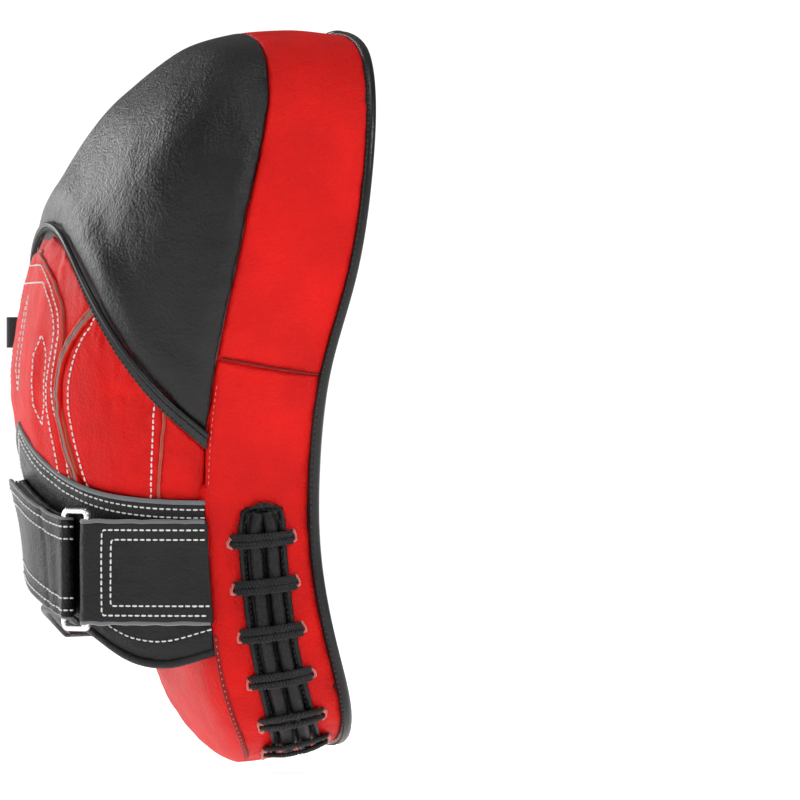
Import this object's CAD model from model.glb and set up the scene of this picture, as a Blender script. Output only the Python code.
"""Looks of the focus mitt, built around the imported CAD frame."""
import math

import bmesh
import bpy
import numpy as np
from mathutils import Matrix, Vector


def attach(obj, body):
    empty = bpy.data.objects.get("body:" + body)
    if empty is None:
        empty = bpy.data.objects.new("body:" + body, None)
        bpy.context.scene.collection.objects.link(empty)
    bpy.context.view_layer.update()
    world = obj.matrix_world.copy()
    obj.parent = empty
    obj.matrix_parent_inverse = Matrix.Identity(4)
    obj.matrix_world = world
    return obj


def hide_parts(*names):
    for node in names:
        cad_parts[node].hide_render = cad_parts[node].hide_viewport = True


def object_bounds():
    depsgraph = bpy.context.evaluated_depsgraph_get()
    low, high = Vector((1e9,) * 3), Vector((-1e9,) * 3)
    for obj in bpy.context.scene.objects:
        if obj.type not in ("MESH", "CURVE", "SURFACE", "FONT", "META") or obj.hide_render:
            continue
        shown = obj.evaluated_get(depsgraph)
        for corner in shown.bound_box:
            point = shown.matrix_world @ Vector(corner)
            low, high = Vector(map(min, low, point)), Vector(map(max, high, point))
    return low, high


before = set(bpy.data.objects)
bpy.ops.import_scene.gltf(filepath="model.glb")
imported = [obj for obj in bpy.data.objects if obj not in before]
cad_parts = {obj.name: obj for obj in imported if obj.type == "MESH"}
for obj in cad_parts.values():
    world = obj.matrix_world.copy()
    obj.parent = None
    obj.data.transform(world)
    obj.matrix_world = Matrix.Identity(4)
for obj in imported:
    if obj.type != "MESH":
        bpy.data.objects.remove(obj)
CAD_BOX = [list(corner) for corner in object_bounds()]

# Lengths are in millimetres measured up from the heel, as in the part's source;
# place() turns them into metres in the frame, whose origin is the wrist opening.
WRIST_HEIGHT = 48.0
WRIST_BACK = 40.0
HEIGHT = 285.5
LEATHER = 2.0
HEEL_SLOPE = 0.24

OUTLINE = [
    (0, 0.5), (28, 4.5), (50, 19), (61, 45), (64, 85), (75, 125),
    (90, 165), (98.5, 210), (92, 247), (67, 273), (36, 282.5), (0, HEIGHT),
]
PROFILE = [
    (-8, -50, -16), (3, -47, -9), (23, -41, 2.5), (45, -34.5, 9.5), (75, -28.7, 12.7),
    (115, -26, 15.4), (150, -27.3, 14.7), (188, -35.5, 9), (229, -41.6, 0.7),
    (266, -46.6, -8), (293, -50.5, -11),
]
# D-shaped covers: height, tuck in from the outline, depth behind the back seam.
HOOD = [
    (112, 0, 61), (140, 0, 63.5), (165, 0, 64.5), (190, 0, 62.5), (208, 0, 59.3),
    (225, 0, 56.5), (240, 0, 52), (254, 0, 45.3), (264, 0, 37), (273, 0, 27.5),
    (279.5, 0, 19), (283.5, 0, 9), (285.4, 0, 1),
]
GLOVE = [
    (92, 3.2, 50.8), (104, 3, 52.8), (114, 3, 55), (124, 2.8, 57), (134, 2.5, 59), (150, 2.5, 60.6),
    (168, 3, 61.3), (186, 3.5, 60.8), (198, 4.5, 58.5), (208, 6, 54.5), (217, 7, 51),
]
CUFF = [
    (36, 0, 50), (56, 0, 53.2), (98, 0, 53.8), (108, 0, 55.8), (122, 0, 58.8), (137, 0, 61),
]
HEEL = [
    (0.6, 1, 2), (5, 0.5, 4), (12, 0.3, 6), (26, 0, 7.3), (50, 0, 7.5), (85, 0, 6),
    (106, 0, 3.5), (118, 0, 2),
]
HOOD_EDGE = [(8, 116), (15.5, 123), (31, 136), (52, 163.5), (62, 193), (64.5, 208), (71, 224)]
BINDING_RISE = 6.5
CUFF_HEM = [(-4, 47), (10, 46), (26, 41.5), (40, 43.5), (50, 50.5), (62, 60), (90, 68)]
CUFF_TOP = [(0, 133), (18, 122), (30, 115), (45, 108), (95, 101)]
WELT = [(40, 90), (39, 131), (46, 160), (60, 177), (86, 206)]
SIDE_SEAM = 32.0
CROSS_SEAM = [(-60, 147), (-27, 151), (14, 159), (40, 163)]

RING_HEIGHT = 77.4
RING_STAND = 6.4
RING_TURN = 38.0
RING_WIDTH = 15.0
RING_WIRE = 2.4
CUFF_DEPTH = 53.5
TAB_LOW = 57.0
TAB_HIGH = 95.6
STRAP_LOW = [(-60, 57.5), (-36, 58.7), (-18, 64), (0, 70), (14, 72.5), (30, 70), (50, 63), (80, 60)]
STRAP_WIDTH = 38.5
STRAP_END = 41.0

LACE_ROWS = [90, 72, 53.5, 35, 17.5, 5.4]
ROLL_RADIUS = 2.6
ROLL_SPREAD = 3.1
FACING_HALF = 9.6
LACING_TOP = 104.0

rng = np.random.default_rng(7)


# ---------------------------------------------------------------- curves
def run_length(points):
    """Distance along a polyline at each of its points, from 0."""
    return np.concatenate([[0], np.cumsum(np.linalg.norm(np.diff(points, axis=0), axis=1))])


def spline(points, count, closed=False):
    """Cubic spline through the points, sampled evenly in chord length."""
    p = np.array(points, float)
    if closed:
        p = np.vstack([p, p[:1]])
    t = run_length(p)
    n = len(p)
    h = np.diff(t)
    matrix = np.zeros((n, n))
    right = np.zeros((n, p.shape[1]))
    for i in range(1, n - 1):
        matrix[i, i - 1:i + 2] = h[i - 1], 2 * (h[i - 1] + h[i]), h[i]
        right[i] = 6 * ((p[i + 1] - p[i]) / h[i] - (p[i] - p[i - 1]) / h[i - 1])
    if closed:
        matrix[0, 0], matrix[0, 1] = 2 * (h[-1] + h[0]), h[0]
        matrix[0, n - 2] = h[-1]
        right[0] = 6 * ((p[1] - p[0]) / h[0] - (p[0] - p[-2]) / h[-1])
        matrix[-1, -1], matrix[-1, 0] = 1, -1
    else:
        matrix[0, 0] = matrix[-1, -1] = 1
    bend = np.linalg.solve(matrix, right)
    s = np.linspace(0, t[-1], count)
    i = np.clip(np.searchsorted(t, s, side="right") - 1, 0, n - 2)
    a, b, step = (t[i + 1] - s)[:, None], (s - t[i])[:, None], h[i][:, None]
    return (bend[i] * a**3 + bend[i + 1] * b**3) / (6 * step) + (
        p[i] / step - bend[i] * step / 6) * a + (p[i + 1] / step - bend[i + 1] * step / 6) * b


def read_off(samples, along=0, value=1):
    """Function that reads one column of a sampled curve against another."""
    order = np.argsort(samples[:, along])
    return lambda x: np.interp(x, samples[order, along], samples[order, value])


whole_outline = OUTLINE + [(-w, z) for w, z in OUTLINE[-2:0:-1]]
loop = spline(whole_outline, 2401, closed=True)
half_width = read_off(loop[loop[:, 0] >= -0.001], 1, 0)
profile = spline(PROFILE, 600)
strike_face = read_off(profile, 0, 1)
back_seam = read_off(profile, 0, 2)
hood_edge = read_off(spline(HOOD_EDGE, 300), 0, 1)
hem_edge = read_off(spline(CUFF_HEM, 300), 0, 1)
cuff_top = read_off(spline(CUFF_TOP, 300), 0, 1)
welt_width = read_off(spline(WELT, 300), 1, 0)
cross_seam = read_off(spline(CROSS_SEAM, 100), 0, 1)
strap_low = read_off(spline(STRAP_LOW, 300), 0, 1)


def along_curve(points, step=None, count=None):
    """Resamples a polyline evenly."""
    points = np.asarray(points, float)
    length = run_length(points)
    if count is None:
        count = max(2, int(round(length[-1] / step)) + 1)
    s = np.linspace(0, length[-1], count)
    return np.stack([np.interp(s, length, points[:, k]) for k in range(points.shape[1])], axis=1)


def unit(v):
    """Vectors scaled to length one."""
    return v / np.maximum(np.linalg.norm(v, axis=-1, keepdims=True), 1e-9)


def ripple(p, seed, size, count=7):
    """Smooth seeded noise of about unit height from a few crossed waves."""
    waves = np.random.default_rng(seed)
    total = np.zeros(p.shape[:-1])
    for _ in range(count):
        direction = unit(waves.normal(size=3))
        pace = 2 * math.pi / (size * waves.uniform(0.7, 1.5))
        total += np.sin(p @ direction * pace + waves.uniform(0, 6.28))
    return total / math.sqrt(count)


def hump(value, centre, width):
    """Smooth bump of height one round a centre."""
    return np.exp(-((value - centre) / width) ** 2)


# ---------------------------------------------------------------- surfaces
def skin(rows, turn, height, out=0.0):
    """Point on a D-shaped cover: turn is 0 at the middle of the back, -90 degrees at the laced seam."""
    table = SMOOTH[id(rows)]
    height = np.asarray(height, float)
    half = half_width(height) - table[0](height) + out
    depth = table[1](height) + out
    across, back = half * np.sin(turn), back_seam(height) + depth * np.cos(turn)
    return np.stack([across, back, height + 0 * turn], axis=-1)


SMOOTH = {}
for cover in (HOOD, GLOVE, CUFF, HEEL):
    sampled = spline(cover, 400)
    SMOOTH[id(cover)] = (read_off(sampled, 0, 1), read_off(sampled, 0, 2))


def skin_out(rows, turn, height):
    """Outward normal of a D-shaped cover."""
    e = 1e-3
    across = skin(rows, turn + e, height) - skin(rows, turn - e, height)
    up = skin(rows, turn, height + 0.2) - skin(rows, turn, height - 0.2)
    return unit(np.cross(up, across))


def meet_height(rows, turn, limit, low, high):
    """Height where a D-shaped cover meets a limit that is a function of the point, by halving."""
    low, high = np.full_like(turn, low), np.full_like(turn, high)
    for _ in range(40):
        middle = (low + high) / 2
        above = middle > limit(skin(rows, turn, middle))
        high = np.where(above, middle, high)
        low = np.where(above, low, middle)
    return (low + high) / 2


def heel_lift(distance, height):
    """How much the pad's bottom rises from the back towards the face."""
    return (-8 - distance) * HEEL_SLOPE * (1 - height / HEIGHT) ** 2


def edge_frame():
    """Outline points and their outward directions, in X and Z."""
    p = loop[:-1]
    tangent = unit(np.roll(p, -1, 0) - np.roll(p, 1, 0))
    outward = np.stack([tangent[:, 1], -tangent[:, 0]], axis=1)
    return p, outward


LOOP, LOOP_OUT = edge_frame()
LOOP_COUNT = len(LOOP)


def edge_point(index, share, out=0.0):
    """Point on the padded edge: place round the outline, share of the way from face to back seam."""
    index = np.asarray(index, float) % LOOP_COUNT
    i = np.floor(index).astype(int) % LOOP_COUNT
    j = (i + 1) % LOOP_COUNT
    f = (index - np.floor(index))[..., None]
    p = LOOP[i] * (1 - f) + LOOP[j] * f
    n = LOOP_OUT[i] * (1 - f) + LOOP_OUT[j] * f
    front, back = strike_face(p[..., 1]), back_seam(p[..., 1])
    y = front + (back - front) * share
    z = p[..., 1] + heel_lift(y, p[..., 1]) + n[..., 1] * out
    return np.stack([p[..., 0] + n[..., 0] * out, y + 0 * z, z], axis=-1)


def index_at(height, side):
    """Place round the outline at a height, on the laced (-1) or thumb (+1) side."""
    half = LOOP_COUNT // 2
    right = np.arange(half + 1)
    index = np.interp(height, LOOP[:half + 1, 1], right)
    return index if side > 0 else LOOP_COUNT - index


# ---------------------------------------------------------------- meshes
def place(p):
    """Millimetres up from the heel to metres in the frame."""
    return (np.asarray(p, float) - (0, WRIST_BACK, WRIST_HEIGHT)) / 1000.0


def make(name, points, faces, material, body="mitt", smooth=True):
    """One mesh piece that rides on a body."""
    mesh = bpy.data.meshes.new(name)
    mesh.from_pydata(place(points).tolist(), [], [list(map(int, face)) for face in faces])
    mesh.update()
    mesh.polygons.foreach_set("use_smooth", [smooth] * len(mesh.polygons))
    mesh.materials.append(material)
    piece = bpy.data.objects.new(name, mesh)
    bpy.context.scene.collection.objects.link(piece)
    if body:
        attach(piece, body)
    return piece


def grid_faces(rows, columns, start=0, wrap=False, flip=False):
    """Quads of a grid of points, row by row."""
    faces = []
    for i in range(rows - 1):
        for j in range(columns if wrap else columns - 1):
            k = (j + 1) % columns
            quad = [start + i * columns + j, start + i * columns + k,
                    start + (i + 1) * columns + k, start + (i + 1) * columns + j]
            faces.append(quad[::-1] if flip else quad)
    return faces


def grid_normals(p, wrap=False):
    """Normals of a grid of points."""
    if wrap:
        across = np.roll(p, -1, 1) - np.roll(p, 1, 1)
    else:
        across = np.gradient(p, axis=1)
    return unit(np.cross(np.gradient(p, axis=0), across))


def slab(name, p, thick, material, body="mitt", flip=False, wrap=False, soften=0.35):
    """Closed sheet: p is its outer surface, thick is how far it goes in."""
    rows, columns = p.shape[:2]
    n = grid_normals(p, wrap) * (-1 if flip else 1)
    lip = min(soften * thick, 0.8)
    outer = p.copy()
    outer[0] -= n[0] * lip
    outer[-1] -= n[-1] * lip
    if not wrap:
        outer[:, 0] -= n[:, 0] * lip
        outer[:, -1] -= n[:, -1] * lip
    inner = p - n * thick
    points = np.vstack([outer.reshape(-1, 3), inner.reshape(-1, 3)])
    count = rows * columns
    faces = grid_faces(rows, columns, 0, wrap, not flip) + grid_faces(rows, columns, count, wrap, flip)
    for i in (0, rows - 1):
        for j in range(columns if wrap else columns - 1):
            k = (j + 1) % columns
            quad = [i * columns + j, i * columns + k, count + i * columns + k, count + i * columns + j]
            faces.append(quad if (i == 0) != flip else quad[::-1])
    if not wrap:
        for j in (0, columns - 1):
            for i in range(rows - 1):
                low, high = i * columns + j, (i + 1) * columns + j
                quad = [low, high, count + high, count + low]
                faces.append(quad[::-1] if (j == 0) != flip else quad)
    return make(name, points, faces, material, body)


def sweep(name, path, out, shape, material, body="mitt", closed=False):
    """Sweeps a closed section (across, up) along a path; out gives the up direction."""
    path = np.asarray(path, float)
    if closed:
        tangent = unit(np.roll(path, -1, 0) - np.roll(path, 1, 0))
    else:
        tangent = unit(np.gradient(path, axis=0))
    across = unit(np.cross(tangent, out))
    up = np.cross(across, tangent)
    shape = np.asarray(shape, float)
    p = path[:, None] + across[:, None] * shape[None, :, :1] + up[:, None] * shape[None, :, 1:]
    rows, columns = p.shape[:2]
    points = p.reshape(-1, 3)
    faces = grid_faces(rows, columns, 0, True)
    if closed:
        for j in range(columns):
            k = (j + 1) % columns
            faces.append([(rows - 1) * columns + j, (rows - 1) * columns + k, k, j])
    else:
        faces.append(list(range(columns)))
        faces.append([(rows - 1) * columns + j for j in range(columns)][::-1])
    piece = make(name, points, faces, material, body)
    piece.data.validate()
    return piece


def oval(wide, tall, sides=10, lift=0.0):
    """Oval section for sweep()."""
    a = np.linspace(0, 2 * math.pi, sides, endpoint=False)
    return np.stack([wide * np.cos(a), tall * np.sin(a) + lift], axis=1)


STITCHES = {}
STITCH_SIDES = 6
# A stitch is a short tube sunk at both ends: share of its length, size and lift, both against its radius.
STITCH_STATIONS = [
    (0.0, 0.35, -0.35), (0.12, 0.85, 0.0), (0.5, 1.0, 0.28), (0.88, 0.85, 0.0), (1.0, 0.35, -0.35)]
SEAM_THREAD = {"pitch": 2.6, "length": 1.95, "radius": 0.36}
PATCH_THREAD = {"pitch": 2.5, "length": 1.85}
TRIM_THREAD = {"pitch": 2.2, "length": 1.6}
HEEL_THREAD = {"pitch": 2.6, "length": 1.0, "radius": 0.24}


def dress(piece, node=None):
    """Says which CAD node a piece stands for, where its finish comes from and how full it is."""
    if node:
        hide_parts(node)
    return piece


def stitch(run, out, group, body="mitt", pitch=2.9, length=2.1, radius=0.36):
    """Adds a row of thread stitches lying on a surface; out is the surface normal along the run."""
    run = np.asarray(run, float)
    both = along_curve(np.hstack([run, np.broadcast_to(out, run.shape)]), step=0.4)
    run, out = both[:, :3], unit(both[:, 3:])
    reach = run_length(run)
    middles = np.arange(pitch / 2, reach[-1], pitch)
    bucket = STITCHES.setdefault((group, body), [])
    for m in middles:
        ends = []
        for s in (m - length / 2, m, m + length / 2):
            ends.append(np.array([np.interp(s, reach, run[:, k]) for k in range(3)]))
        n = unit(np.array([np.interp(m, reach, out[:, k]) for k in range(3)]))
        bucket.append((ends, n, radius * rng.uniform(0.92, 1.08)))


def flush_stitches(materials):
    """One mesh of all the thread of one kind on one body."""
    ring = np.linspace(0, 2 * math.pi, STITCH_SIDES, endpoint=False)
    for (group, body), bucket in STITCHES.items():
        points, faces = [], []
        for ends, n, radius in bucket:
            t = unit(ends[2] - ends[0])
            side = unit(np.cross(t, n))
            base = len(points)
            for share, size, lift in STITCH_STATIONS:
                middle = ends[0] * (1 - share) + ends[2] * share if share != 0.5 else ends[1]
                middle = middle + n * radius * lift
                for a in ring:
                    points.append(middle + (side * math.cos(a) + n * math.sin(a)) * radius * size)
            faces += grid_faces(len(STITCH_STATIONS), STITCH_SIDES, base, True)
            last = base + (len(STITCH_STATIONS) - 1) * STITCH_SIDES
            faces.append([base + j for j in range(STITCH_SIDES)][::-1])
            faces.append([last + j for j in range(STITCH_SIDES)])
        piece = make(f"thread_{group}_{body}", np.array(points), faces, materials[group], body)


# ---------------------------------------------------------------- materials
def surface(name, colour, rough, sheen=0.0, specular=0.5, metallic=0.0, coat=0.0):
    material = bpy.data.materials.new(name)
    material.use_nodes = True
    shader = material.node_tree.nodes["Principled BSDF"]
    shader.inputs["Base Color"].default_value = (*colour, 1)
    shader.inputs["Roughness"].default_value = rough
    shader.inputs["Metallic"].default_value = metallic
    shader.inputs["Specular IOR Level"].default_value = specular
    shader.inputs["Sheen Weight"].default_value = sheen
    shader.inputs["Coat Weight"].default_value = coat
    return material, material.node_tree.nodes, material.node_tree.links, shader


def texture(nodes, links, kind, scale, detail=2.0):
    """Procedural texture that reads object coordinates."""
    where = nodes.get("where") or nodes.new("ShaderNodeTexCoord")
    where.name = "where"
    node = nodes.new(f"ShaderNodeTex{kind}")
    node.inputs["Scale"].default_value = scale
    if "Detail" in node.inputs:
        node.inputs["Detail"].default_value = detail
    links.new(where.outputs["Object"], node.inputs["Vector"])
    return node


def blend_values(nodes, links, first, second, share):
    """Mix of two values."""
    node = nodes.new("ShaderNodeMix")
    node.inputs["Factor"].default_value = share
    links.new(first, node.inputs["A"])
    links.new(second, node.inputs["B"])
    return node.outputs["Result"]


def bump(nodes, links, shader, height, strength, distance):
    """Bump from a height value."""
    node = nodes.new("ShaderNodeBump")
    node.inputs["Strength"].default_value = strength
    node.inputs["Distance"].default_value = distance
    links.new(height, node.inputs["Height"])
    links.new(node.outputs["Normal"], shader.inputs["Normal"])


def colour_spread(nodes, links, shader, driver, dark, light, low=0.3, high=0.7):
    """Base colour between two shades, as a value varies."""
    ramp = nodes.new("ShaderNodeValToRGB")
    ramp.color_ramp.elements[0].position = low
    ramp.color_ramp.elements[1].position = high
    ramp.color_ramp.elements[0].color = (*dark, 1)
    ramp.color_ramp.elements[1].color = (*light, 1)
    links.new(driver, ramp.inputs["Fac"])
    links.new(ramp.outputs["Color"], shader.inputs["Base Color"])


def rough_spread(nodes, links, shader, driver, low, high):
    """Roughness between two limits, as a value varies."""
    ramp = nodes.new("ShaderNodeMapRange")
    ramp.inputs["To Min"].default_value = low
    ramp.inputs["To Max"].default_value = high
    links.new(driver, ramp.inputs["Value"])
    links.new(ramp.outputs["Result"], shader.inputs["Roughness"])


def leather(name, dark, light, rough, grain=0.25, specular=0.5, coat=0.0):
    """Leather with pebble grain, fine pores, creases and mottled colour."""
    material, nodes, links, shader = surface(name, light, rough, specular=specular, coat=coat)
    pebble = texture(nodes, links, "Voronoi", 780)
    fine = texture(nodes, links, "Noise", 2200, 3)
    crease = texture(nodes, links, "Noise", 190, 8)
    mottled = texture(nodes, links, "Noise", 38, 4)
    height = blend_values(nodes, links, pebble.outputs["Distance"], fine.outputs["Fac"], 0.5)
    height = blend_values(nodes, links, height, crease.outputs["Fac"], 0.55)
    bump(nodes, links, shader, height, grain, 0.0016)
    colour_spread(nodes, links, shader, mottled.outputs["Fac"], dark, light)
    rough_spread(nodes, links, shader, fine.outputs["Fac"], rough - 0.06, rough + 0.07)
    return material


def cloth(name, colour, scale=1500, rough=0.85, sheen=0.3):
    """Woven or fuzzy material; scale is how fine its weave is."""
    material, nodes, links, shader = surface(name, colour, rough, sheen=sheen, specular=0.25)
    across = texture(nodes, links, "Wave", scale / 6)
    across.bands_direction = "Z"
    along = texture(nodes, links, "Wave", scale / 6)
    along.bands_direction = "DIAGONAL"
    fuzz = texture(nodes, links, "Noise", scale, 3)
    height = blend_values(nodes, links, across.outputs["Fac"], along.outputs["Fac"], 0.5)
    height = blend_values(nodes, links, height, fuzz.outputs["Fac"], 0.4)
    bump(nodes, links, shader, height, 0.35, 0.0004)
    dark = tuple(c * 0.7 for c in colour)
    colour_spread(nodes, links, shader, fuzz.outputs["Fac"], dark, colour)
    return material


RED = leather("red_leather", (0.47, 0.004, 0.003), (0.62, 0.006, 0.004), 0.50, 0.6, specular=0.12)
BLACK = leather("black_leather", (0.005, 0.005, 0.0055), (0.009, 0.0088, 0.009), 0.36, 0.6, specular=0.24)
SATIN = leather(
    "black_satin_leather", (0.005, 0.005, 0.0055), (0.010, 0.0098, 0.010), 0.31, 0.55, specular=0.26)
TRIM = cloth("black_binding", (0.030, 0.030, 0.031), 2600, 0.7, 0.1)
PIPING = leather("black_piping", (0.006, 0.006, 0.006), (0.009, 0.009, 0.009), 0.34, 0.2, specular=0.3)
LACE_CORD = cloth("lace_cord", (0.010, 0.010, 0.011), 3600, 0.65, 0.1)
LINING = cloth("lining_cloth", (0.03, 0.03, 0.032), 2000)
FOAM = cloth("foam", (0.10, 0.10, 0.10), 3000, 0.95, 0.1)
TAPE = cloth("hook_and_loop_tape", (0.018, 0.018, 0.018), 4200, 0.95)
RAW_GREY = cloth("raw_edge_grey", (0.15, 0.16, 0.17), 4500, 0.95, 0.5)
RAW_RED = cloth("raw_edge_red", (0.42, 0.06, 0.025), 4500, 0.95, 0.5)
TORN = cloth("torn_leather", (0.62, 0.16, 0.13), 4500, 0.95, 0.4)
SEAM_RED = cloth("seam_red", (0.22, 0.004, 0.004), 3000, 0.8, 0.1)
WHITE_THREAD = cloth("white_thread", (0.80, 0.79, 0.77), 6000, 0.7, 0.2)
BLACK_THREAD = cloth("black_thread", (0.012, 0.012, 0.012), 6000, 0.6, 0.2)
RED_THREAD = cloth("pale_red_thread", (0.70, 0.13, 0.10), 6000, 0.7, 0.2)
METAL, metal_nodes, metal_links, metal_shader = surface("ring_metal", (0.72, 0.72, 0.73), 0.22, metallic=1.0)
scuffs = texture(metal_nodes, metal_links, "Noise", 900, 4)
rough_spread(metal_nodes, metal_links, metal_shader, scuffs.outputs["Fac"], 0.16, 0.34)
THREADS = {"white": WHITE_THREAD, "black": BLACK_THREAD, "red": RED_THREAD}


# ---------------------------------------------------------------- pad
def band_limits(share):
    """Where the cross seam meets each side, as places round the outline."""
    y = strike_face(155.0) + (back_seam(155.0) - strike_face(155.0)) * share
    height = cross_seam(y)
    return index_at(height, 1), index_at(height, -1)


def band(name, upper, node):
    """One red edge band, crowned between its seams and gathered at the cross seam."""
    shares = np.linspace(0.0, 1.0, 31)
    rows = 330
    p = np.zeros((rows, len(shares), 3))
    for j, share in enumerate(shares):
        thumb, laced = band_limits(share)
        start, end = (thumb, laced) if upper else (laced, thumb + LOOP_COUNT)
        run = np.linspace(start, end, rows)
        crown = 1.5 * math.sin(math.pi * share) ** 0.55 - 0.3
        p[:, j] = edge_point(run, np.full(rows, share), crown)
    out = np.stack([p[..., 0], 0 * p[..., 0], (p[..., 2] - 150) * 0.6], axis=-1)
    from_end = np.minimum(np.arange(rows), rows - 1 - np.arange(rows))
    near_seam = np.exp(-((from_end / 5.0) ** 2))[:, None]
    lift = 0.28 * ripple(p, 11, 46) + 0.12 * ripple(p, 12, 17) * (1 + 1.5 * near_seam)
    lift = lift - 0.8 * near_seam
    edge_gap = np.minimum(shares, 1 - shares)[None] * 40
    lift += 0.26 * ripple(p * np.array([0.6, 0.22, 1.1]), 13, 8) * np.exp(-edge_gap / 6.0)
    creased = ripple(p @ np.array([[1.0, 0, 0], [0, 1.0, 0.35], [0, 0, 0.8]]), 14, 26, 9)
    lift -= 0.30 * hump(creased, 0, 0.10) * 0.6
    p += unit(out) * lift[..., None]
    piece = slab(name, p, LEATHER, RED, flip=True)
    dress(piece, node)


band("edge_band_upper_leather", True, "edge_band_upper")
band("edge_band_lower_leather", False, "edge_band_lower")

full = np.arange(0, LOOP_COUNT, 4)
rim_share = np.zeros(len(full))
rim_path = edge_point(full, rim_share, -0.3) - (0, 1.0, 0)
rim_out = np.stack([LOOP_OUT[full][:, 0], 0 * full, LOOP_OUT[full][:, 1]], axis=1)


def rim(name, material, path, out, wide, tall, node):
    """Closed roll along the whole rim, with its own width and height at each place."""
    angle = np.linspace(0, 2 * math.pi, 14, endpoint=False)
    tangent = unit(np.roll(path, -1, 0) - np.roll(path, 1, 0))
    across = unit(np.cross(tangent, out))
    p = (path[:, None] + across[:, None] * (wide[:, None] * np.cos(angle))[..., None]
         + out[:, None] * (tall[:, None] * np.sin(angle))[..., None])
    faces = grid_faces(len(path), 14, 0, True)
    last = (len(path) - 1) * 14
    for j in range(14):
        faces.append([last + j, last + (j + 1) % 14, (j + 1) % 14, j])
    piece = make(name, p.reshape(-1, 3), faces, material)
    dress(piece, node)


low_part = 1 / (1 + np.exp((rim_path[:, 2] - 150) / 6))
rim("rim_roll", PIPING, rim_path, rim_out, 1.9 + 0.5 * low_part, 1.5 + 1.1 * low_part, "rim_binding")
stitch(
    rim_path + rim_out * (1.5 + 1.1 * low_part)[:, None] + (0, 1.4, 0), rim_out, "black",
    pitch=2.4, length=1.7, radius=0.3,
)

rings = np.linspace(1.0, 0.0, 34)
face = np.zeros((len(rings), len(full), 3))
rim_front = edge_point(full, rim_share, 0.0)
for i, r in enumerate(rings):
    x = rim_front[:, 0] * r
    z = 152 + (rim_front[:, 2] - 152) * r
    puff = 3.4 * (1 - r**4) - 0.9 * math.exp(-((r - 0.93) / 0.03) ** 2)
    face[i] = np.stack([x, strike_face(z) - 1.2 - puff, z], axis=1)
face[..., 1] += 0.25 * ripple(face, 21, 55)
face_leather = slab("striking_face_leather", face, 2.2, BLACK, flip=True, wrap=True)
dress(face_leather, "face_panel")
for share in (0.9, 0.42, 0.36):
    i = int(np.argmin(abs(rings - share)))
    circle = np.vstack([face[i], face[i, :1]]) - (0, 0.15, 0)
    stitch(circle, (0, -1, 0), "black", pitch=3.4, length=2.5)

heel_low = index_at(112.0, -1)
heel_high = index_at(112.0, 1) + LOOP_COUNT
heel_run = np.linspace(heel_low, heel_high, 220)
heel_edge = edge_point(heel_run, np.ones(220), 0.0)
heel_steps = np.linspace(0, 1, 40) ** 1.5
heel = np.zeros((40, 220, 3))
heel_out = np.stack([heel_edge[:, 0] / 62.0, 0 * heel_run, (heel_edge[:, 2] - 62) / 62.0], axis=1)
for i, s in enumerate(heel_steps):
    bulge = 3.0 * math.sin(math.pi * min(s / 0.2, 1.0)) ** 0.8
    x = heel_edge[:, 0] * (1 - s)
    z = heel_edge[:, 2] + (88 - heel_edge[:, 2]) * s
    y = back_seam(z) - 0.6 + 8.2 * (1 - (1 - min(s / 0.42, 1.0)) ** 2.4)
    heel[i] = np.stack([x, y, z], axis=1) + unit(heel_out) * bulge * np.array([0.35, 0, 1.0])
heel_folds = 0.22 * ripple(heel * np.array([0.35, 1, 1.6]), 31, 16)
heel_folds += 0.13 * ripple(heel * np.array([0.3, 0.3, 1.6]), 32, 7)
heel[..., 1] += heel_folds * np.minimum(heel_steps / 0.1, 1)[:, None]
heel_leather = slab("heel_leather", heel, 1.8, RED, flip=False)
dress(heel_leather, "heel_cover")
back_line = edge_point(np.linspace(heel_low, heel_high, 400), np.full(400, 0.975), 0.75)
back_line_out = unit(back_line * np.array([1, 0, 1]) - (0, 0, 60))
for side, side_name in ((-1, "laced"), (1, "thumb")):
    bare = (back_line[:, 2] < 52) & (back_line[:, 2] > 4) & (back_line[:, 0] * side > 0)
    bare_line, bare_out = back_line[bare], back_line_out[bare]
    groove = sweep(f"heel_seam_groove_{side_name}", bare_line, bare_out, oval(0.9, 0.38, 8), SEAM_RED)
    stitch(bare_line + bare_out * 0.3, bare_out, "red", **HEEL_THREAD)

for first, last in ((index_at(150.0, -1), heel_low), (heel_high - LOOP_COUNT, index_at(150.0, 1))):
    back_line = edge_point(np.linspace(float(first), float(last), 300), np.full(300, 0.975), 1.0)
    sideways = np.sign(back_line[:, :1]) * np.array([[1.0, 0.25, 0.0]])
    stitch(back_line, sideways, "red", pitch=2.6, length=1.4, radius=0.2)

SEAM_SHARES = np.linspace(0.03, 0.97, 90)
for side, side_name in ((-1, "laced"), (1, "thumb")):
    zigzag = np.zeros((90, 4, 3))
    for j, share in enumerate(SEAM_SHARES):
        thumb, laced = band_limits(share)
        centre = laced if side < 0 else thumb
        tooth = 2.9 if (j // 2) % 2 else 1.7
        crown = 1.5 * math.sin(math.pi * share) ** 0.55 - 0.55
        for k, along_edge in enumerate((-0.4, 0.5, 1.2, tooth)):
            stand = crown + (0.05 if k in (0, 3) else 0.22)
            zigzag[j, k] = edge_point(centre + side * along_edge, share, stand)
    piece = slab(f"cross_seam_edge_{side_name}", zigzag, 1.0, SEAM_RED, flip=side < 0, soften=0.1)


# ---------------------------------------------------------------- hood
def edge_height(turn, shift=0.0):
    """Height of the hood's lower edge at a turn, moved along the leather by a shift."""
    return meet_height(HOOD, turn, lambda p: hood_edge(p[..., 1]) + shift, 104.0, 250.0)


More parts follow.
